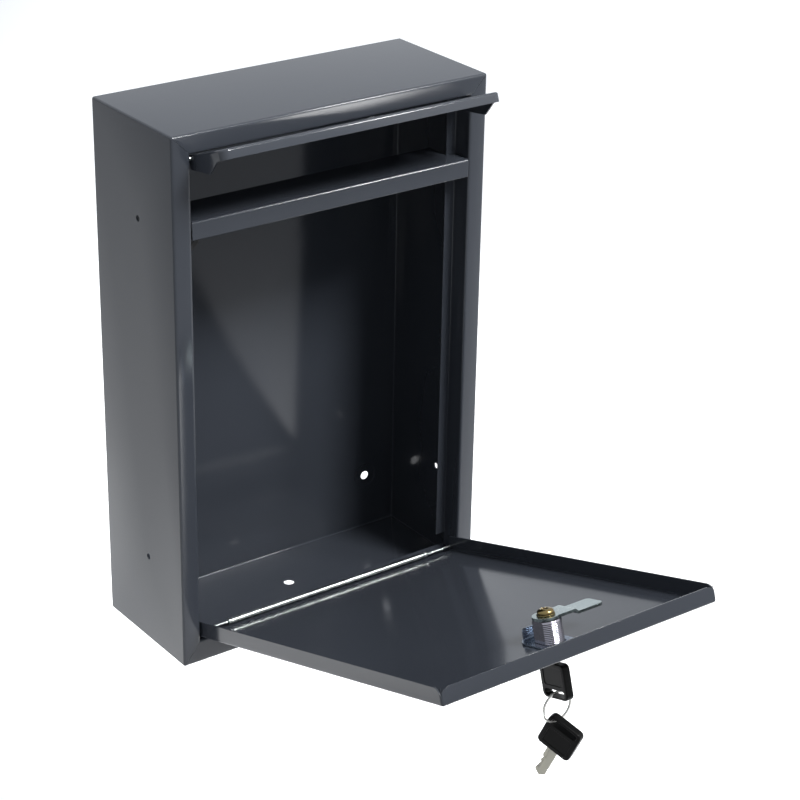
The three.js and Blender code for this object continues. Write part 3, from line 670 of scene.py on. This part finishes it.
def key_head():
    """Moulded head with a soft rim, a sunk panel on both sides and a long eye for the ring."""
    loops = []
    levels = [(-3.0, 0.9), (-2.92, 0.5), (-2.7, 0.2), (-2.3, 0.03), (-1.9, 0.0)]
    for x, inset in levels + [(-x, i) for x, i in levels[::-1]]:
        wide, tall = HEAD_WIDTH / 2 - inset, HEAD_LENGTH / 2 - inset
        low, high = 3.4 - inset, 4 - inset
        outline = rounded([
            (-wide, -tall, low), (wide, -tall, low), (wide, tall, high), (-wide, tall, high)], 7)
        loops.append([(x, a, b) for a, b in outline])
    far = EYE_REACH + EYE_RADIUS
    low, high = EYE_Z - EYE_RADIUS, EYE_Z + EYE_RADIUS
    slot = rounded([(-far, low, 2.3), (far, low, 2.3), (far, high, 2.3), (-far, high, 2.3)], 7)
    eye = prism("x", slot, -10, 10)
    panel = rounded([(-9.5, -9.5, 2), (9.5, -9.5, 2), (9.5, 3.2, 2), (-9.5, 3.2, 2)], 5)
    sunk = [prism("x", panel, 2.6, 9), prism("x", panel, -9, -2.6)]
    return cut(loft(loops), eye, *sunk, box(-1.3, 1.3, -4.3, 4.3, -14, 0.3))


def key_blade():
    """Cut blade with a groove along each face."""
    half = 4.0
    outline = [
        (-half, 0), (-half, -30), (-half + 1.2, -31.2), (-half, -32.4), (-half, -34.5), (-1, -37.5),
        (1, -37.5), (half, -34.5), (half, -33), (half - 1.5, -31.5), (half - 0.6, -30),
        (half - 1.8, -27.5), (half - 0.4, -25.5), (half - 1.4, -23), (half, -21), (half, 0)]
    blade = prism("x", outline, -1, 1)
    return cut(blade, box(0.45, 2, -1.6, 0.1, -40, -13.5), box(-2, -0.45, 0.6, 2.0, -40, -13.5))


def split_ring():
    """Two close turns of flattened wire with one step between them."""
    start, end, step0, step1 = 0.0, 686.0, 328.0, 357.0
    count = 150
    loops = []
    for i in range(count + 1):
        angle = start + (end - start) * i / count
        t = max(0.0, min(1.0, (angle - step0) / (step1 - step0)))
        y = -0.4 + 0.8 * t * t * (3 - 2 * t)
        a = math.radians(angle + 215)
        ring = []
        for k in range(10):
            b = 2 * math.pi * k / 10
            r = RING_RADIUS + 0.75 * math.cos(b)
            ring.append((r * math.cos(a), y + 0.34 * math.sin(b), r * math.sin(a)))
        loops.append(ring)
    return moved(loft(loops), Matrix.Translation(RING_CENTRE))


def build_keys():
    head, blade = key_head(), key_blade()
    for number, place in ((1, AT_KEY_1), (2, AT_KEY_2)):
        body = f"key_{number}"
        piece(f"head_{number}", head, place, body, BLACK, [f"key_{number}_head"])
        piece(f"blade_{number}", blade, place, body, BLADE, [f"key_{number}_blade"])
    piece("split_ring", split_ring(), TO_ROW, "ring", NICKEL, ["key_ring"])


# ---------------------------------------------------------------- hinge bar

def hinge_bar():
    """Tube with its ends rolled in over the pins."""
    length = TUBE_LENGTH
    end = [(1.75, 0), (2.1, 0.25), (2.33, 0.7), (2.35, 1.9), (2.2, 2.5), (1.85, 3.0), (1.85, 3.4),
           (2.05, 4.0), (2.1, 4.6)]
    outer = end + [(r, length - h) for r, h in end[::-1]]
    inner = [(1.1, length), (1.1, length - 4), (1.6, length - 5), (1.6, 5), (1.1, 4), (1.1, 0)]
    bar = turned(outer + inner, 40, "x")
    return moved(bar, Matrix.Translation((TUBE_START, *DOOR_AXIS)))


build_case()
piece("flap", flap(), AT_FLAP, "flap", COAT, ["flap_panel"])
piece("door_tray", door(), AT_DOOR, "door", COAT, ["door_panel"])
build_lock()
build_keys()
piece("hinge_bar", hinge_bar(), AT_CASE, "case", STEEL, ["hinge_tube"])

KEPT = {
    "lock_catch": COAT, "flap_pin_left": STEEL, "flap_pin_right": STEEL,
    "hinge_pin_left": STEEL, "hinge_pin_right": STEEL, "hinge_spring": STEEL,
}
for name, material in KEPT.items():
    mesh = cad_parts[name].data
    mesh.materials.clear()
    mesh.materials.append(material)


# ---------------------------------------------------------------- studio

def studio_world():
    """White room that is greyer near the horizon."""
    world = bpy.data.worlds.new("studio")
    bpy.context.scene.world = world
    world.use_nodes = True
    tree = world.node_tree
    where = tree.nodes.new("ShaderNodeTexCoord")
    split = tree.nodes.new("ShaderNodeSeparateXYZ")
    tree.links.new(where.outputs["Generated"], split.inputs["Vector"])
    ramp = tree.nodes.new("ShaderNodeValToRGB")
    lift = tree.nodes.new("ShaderNodeMapRange")
    lift.inputs["From Min"].default_value = -1.0
    tree.links.new(split.outputs["Z"], lift.inputs["Value"])
    tree.links.new(lift.outputs["Result"], ramp.inputs["Fac"])
    stops = ((0.0, 0.9), (0.46, 0.66), (0.56, 0.66), (0.72, 0.84), (1.0, 0.9))
    elements = ramp.color_ramp.elements
    while len(elements) < len(stops):
        elements.new(0.5)
    for element, (at, level) in zip(elements, stops):
        element.position = at
        element.color = (level * 0.95, level * 0.99, level * 1.05, 1)
    tree.links.new(ramp.outputs["Color"], tree.nodes["Background"].inputs["Color"])


def studio_floor():
    """Pale paper with a painted shade patch, a little greyer in front of the letterbox and to its left, and
    a painted glow on the rest.
    """
    reach, level = 30.0, -0.5
    mesh = bpy.data.meshes.new("floor")
    mesh.from_pydata([(-reach, -reach, level), (reach, -reach, level), (reach, reach, level),
                      (-reach, reach, level)], [], [(0, 1, 2, 3)])
    floor = bpy.data.objects.new("floor", mesh)
    bpy.context.scene.collection.objects.link(floor)
    paper, tree, shader, place, add = nodes_of("studio_floor")
    grain = add("ShaderNodeTexNoise", {"Vector": place, "Scale": 3.0, "Detail": 2.0})
    dim, pale = (0.9, 0.9, 0.9, 1), (0.93, 0.93, 0.93, 1)
    shade = add("ShaderNodeMix", {"Factor": grain.outputs["Fac"], "A": dim, "B": pale}, data_type="RGBA")
    # mask for painted shade and painted glow: closed in front of the letterbox and to its left
    along = add("ShaderNodeVectorMath", {0: place, 1: (0.55, 0.83, 0.0)}, operation="DOT_PRODUCT")
    front = add("ShaderNodeMapRange", {"Value": along.outputs["Value"], "From Min": -0.55, "From Max": 0.0,
                                       "To Min": 0.0, "To Max": 1.0}, interpolation_type="SMOOTHSTEP")
    across = add("ShaderNodeVectorMath", {0: place, 1: (-0.83, 0.55, 0.0)}, operation="DOT_PRODUCT")
    side = add("ShaderNodeMapRange", {"Value": across.outputs["Value"], "From Min": 0.95, "From Max": 0.3,
                                      "To Min": 0.15, "To Max": 1.0}, interpolation_type="SMOOTHSTEP")
    lit_paper_mask = add("ShaderNodeMath", {0: front.outputs["Result"], 1: side.outputs["Result"]},
               operation="MULTIPLY")
    # painted shade: the paper turns grey where the mask is closed
    paper_with_painted_shade = add("ShaderNodeMix", {"Factor": lit_paper_mask.outputs["Value"], "A": (0.55, 0.55, 0.55, 1),
                                 "B": shade.outputs["Result"]}, data_type="RGBA")
    # painted light: the paper glows where the mask is open, though it is no lamp
    glow = add("ShaderNodeMapRange", {"Value": lit_paper_mask.outputs["Value"], "To Min": 0.0, "To Max": 0.3})
    tree.links.new(paper_with_painted_shade.outputs["Result"], shader.inputs["Base Color"])
    tree.links.new(glow.outputs["Result"], shader.inputs["Emission Strength"])
    shader.inputs["Roughness"].default_value = 0.9
    shader.inputs["Emission Color"].default_value = (1, 1, 1, 1)
    mesh.materials.append(paper)


def studio():
    scene = bpy.context.scene
    scene.view_settings.view_transform = "Standard"
    scene.view_settings.look = "None"
    studio_world()
    studio_floor()
    for name, place, power, size, spread in (
        ("key_light", (0.7, -2.0, 2.5), 14.0, 0.9, 44),
        ("edge_light", (1.9, -2.0, 2.2), 5.0, 0.4, 60),
        ("fill_light", (2.2, -1.6, 1.2), 4.0, 2.0, 120),
    ):
        lamp = bpy.data.lights.new(name, "AREA")
        lamp.energy = power
        lamp.size = size
        lamp.spread = math.radians(spread)
        obj = bpy.data.objects.new(name, lamp)
        obj.location = place
        obj.rotation_euler = (-Vector(place)).to_track_quat("-Z", "Y").to_euler()
        scene.collection.objects.link(obj)


CAMERA_ANGLES = (-36.509, 25.104, 1.091)
CAMERA_PLACE = (-0.863002, -1.349882, 0.689003)
CAMERA_LENS, CAMERA_SENSOR = 104.896, 36.0


def camera():
    """View from the left and above, set by azimuth, elevation and roll in degrees."""
    azimuth, elevation, roll = (math.radians(d) for d in CAMERA_ANGLES)
    back = Vector((math.sin(azimuth) * math.cos(elevation), -math.cos(azimuth) * math.cos(elevation),
                   math.sin(elevation)))
    right = Vector((math.cos(azimuth), math.sin(azimuth), 0))
    up = back.cross(right)
    across = right * math.cos(roll) + up * math.sin(roll)
    above = up * math.cos(roll) - right * math.sin(roll)
    data = bpy.data.cameras.new("camera")
    data.sensor_width = CAMERA_SENSOR
    data.lens = CAMERA_LENS
    data.clip_end = 100
    obj = bpy.data.objects.new("camera", data)
    pose = Matrix((across, above, back)).transposed().to_4x4()
    pose.translation = CAMERA_PLACE
    obj.matrix_world = pose
    bpy.context.scene.collection.objects.link(obj)
    bpy.context.scene.camera = obj


studio()
camera()
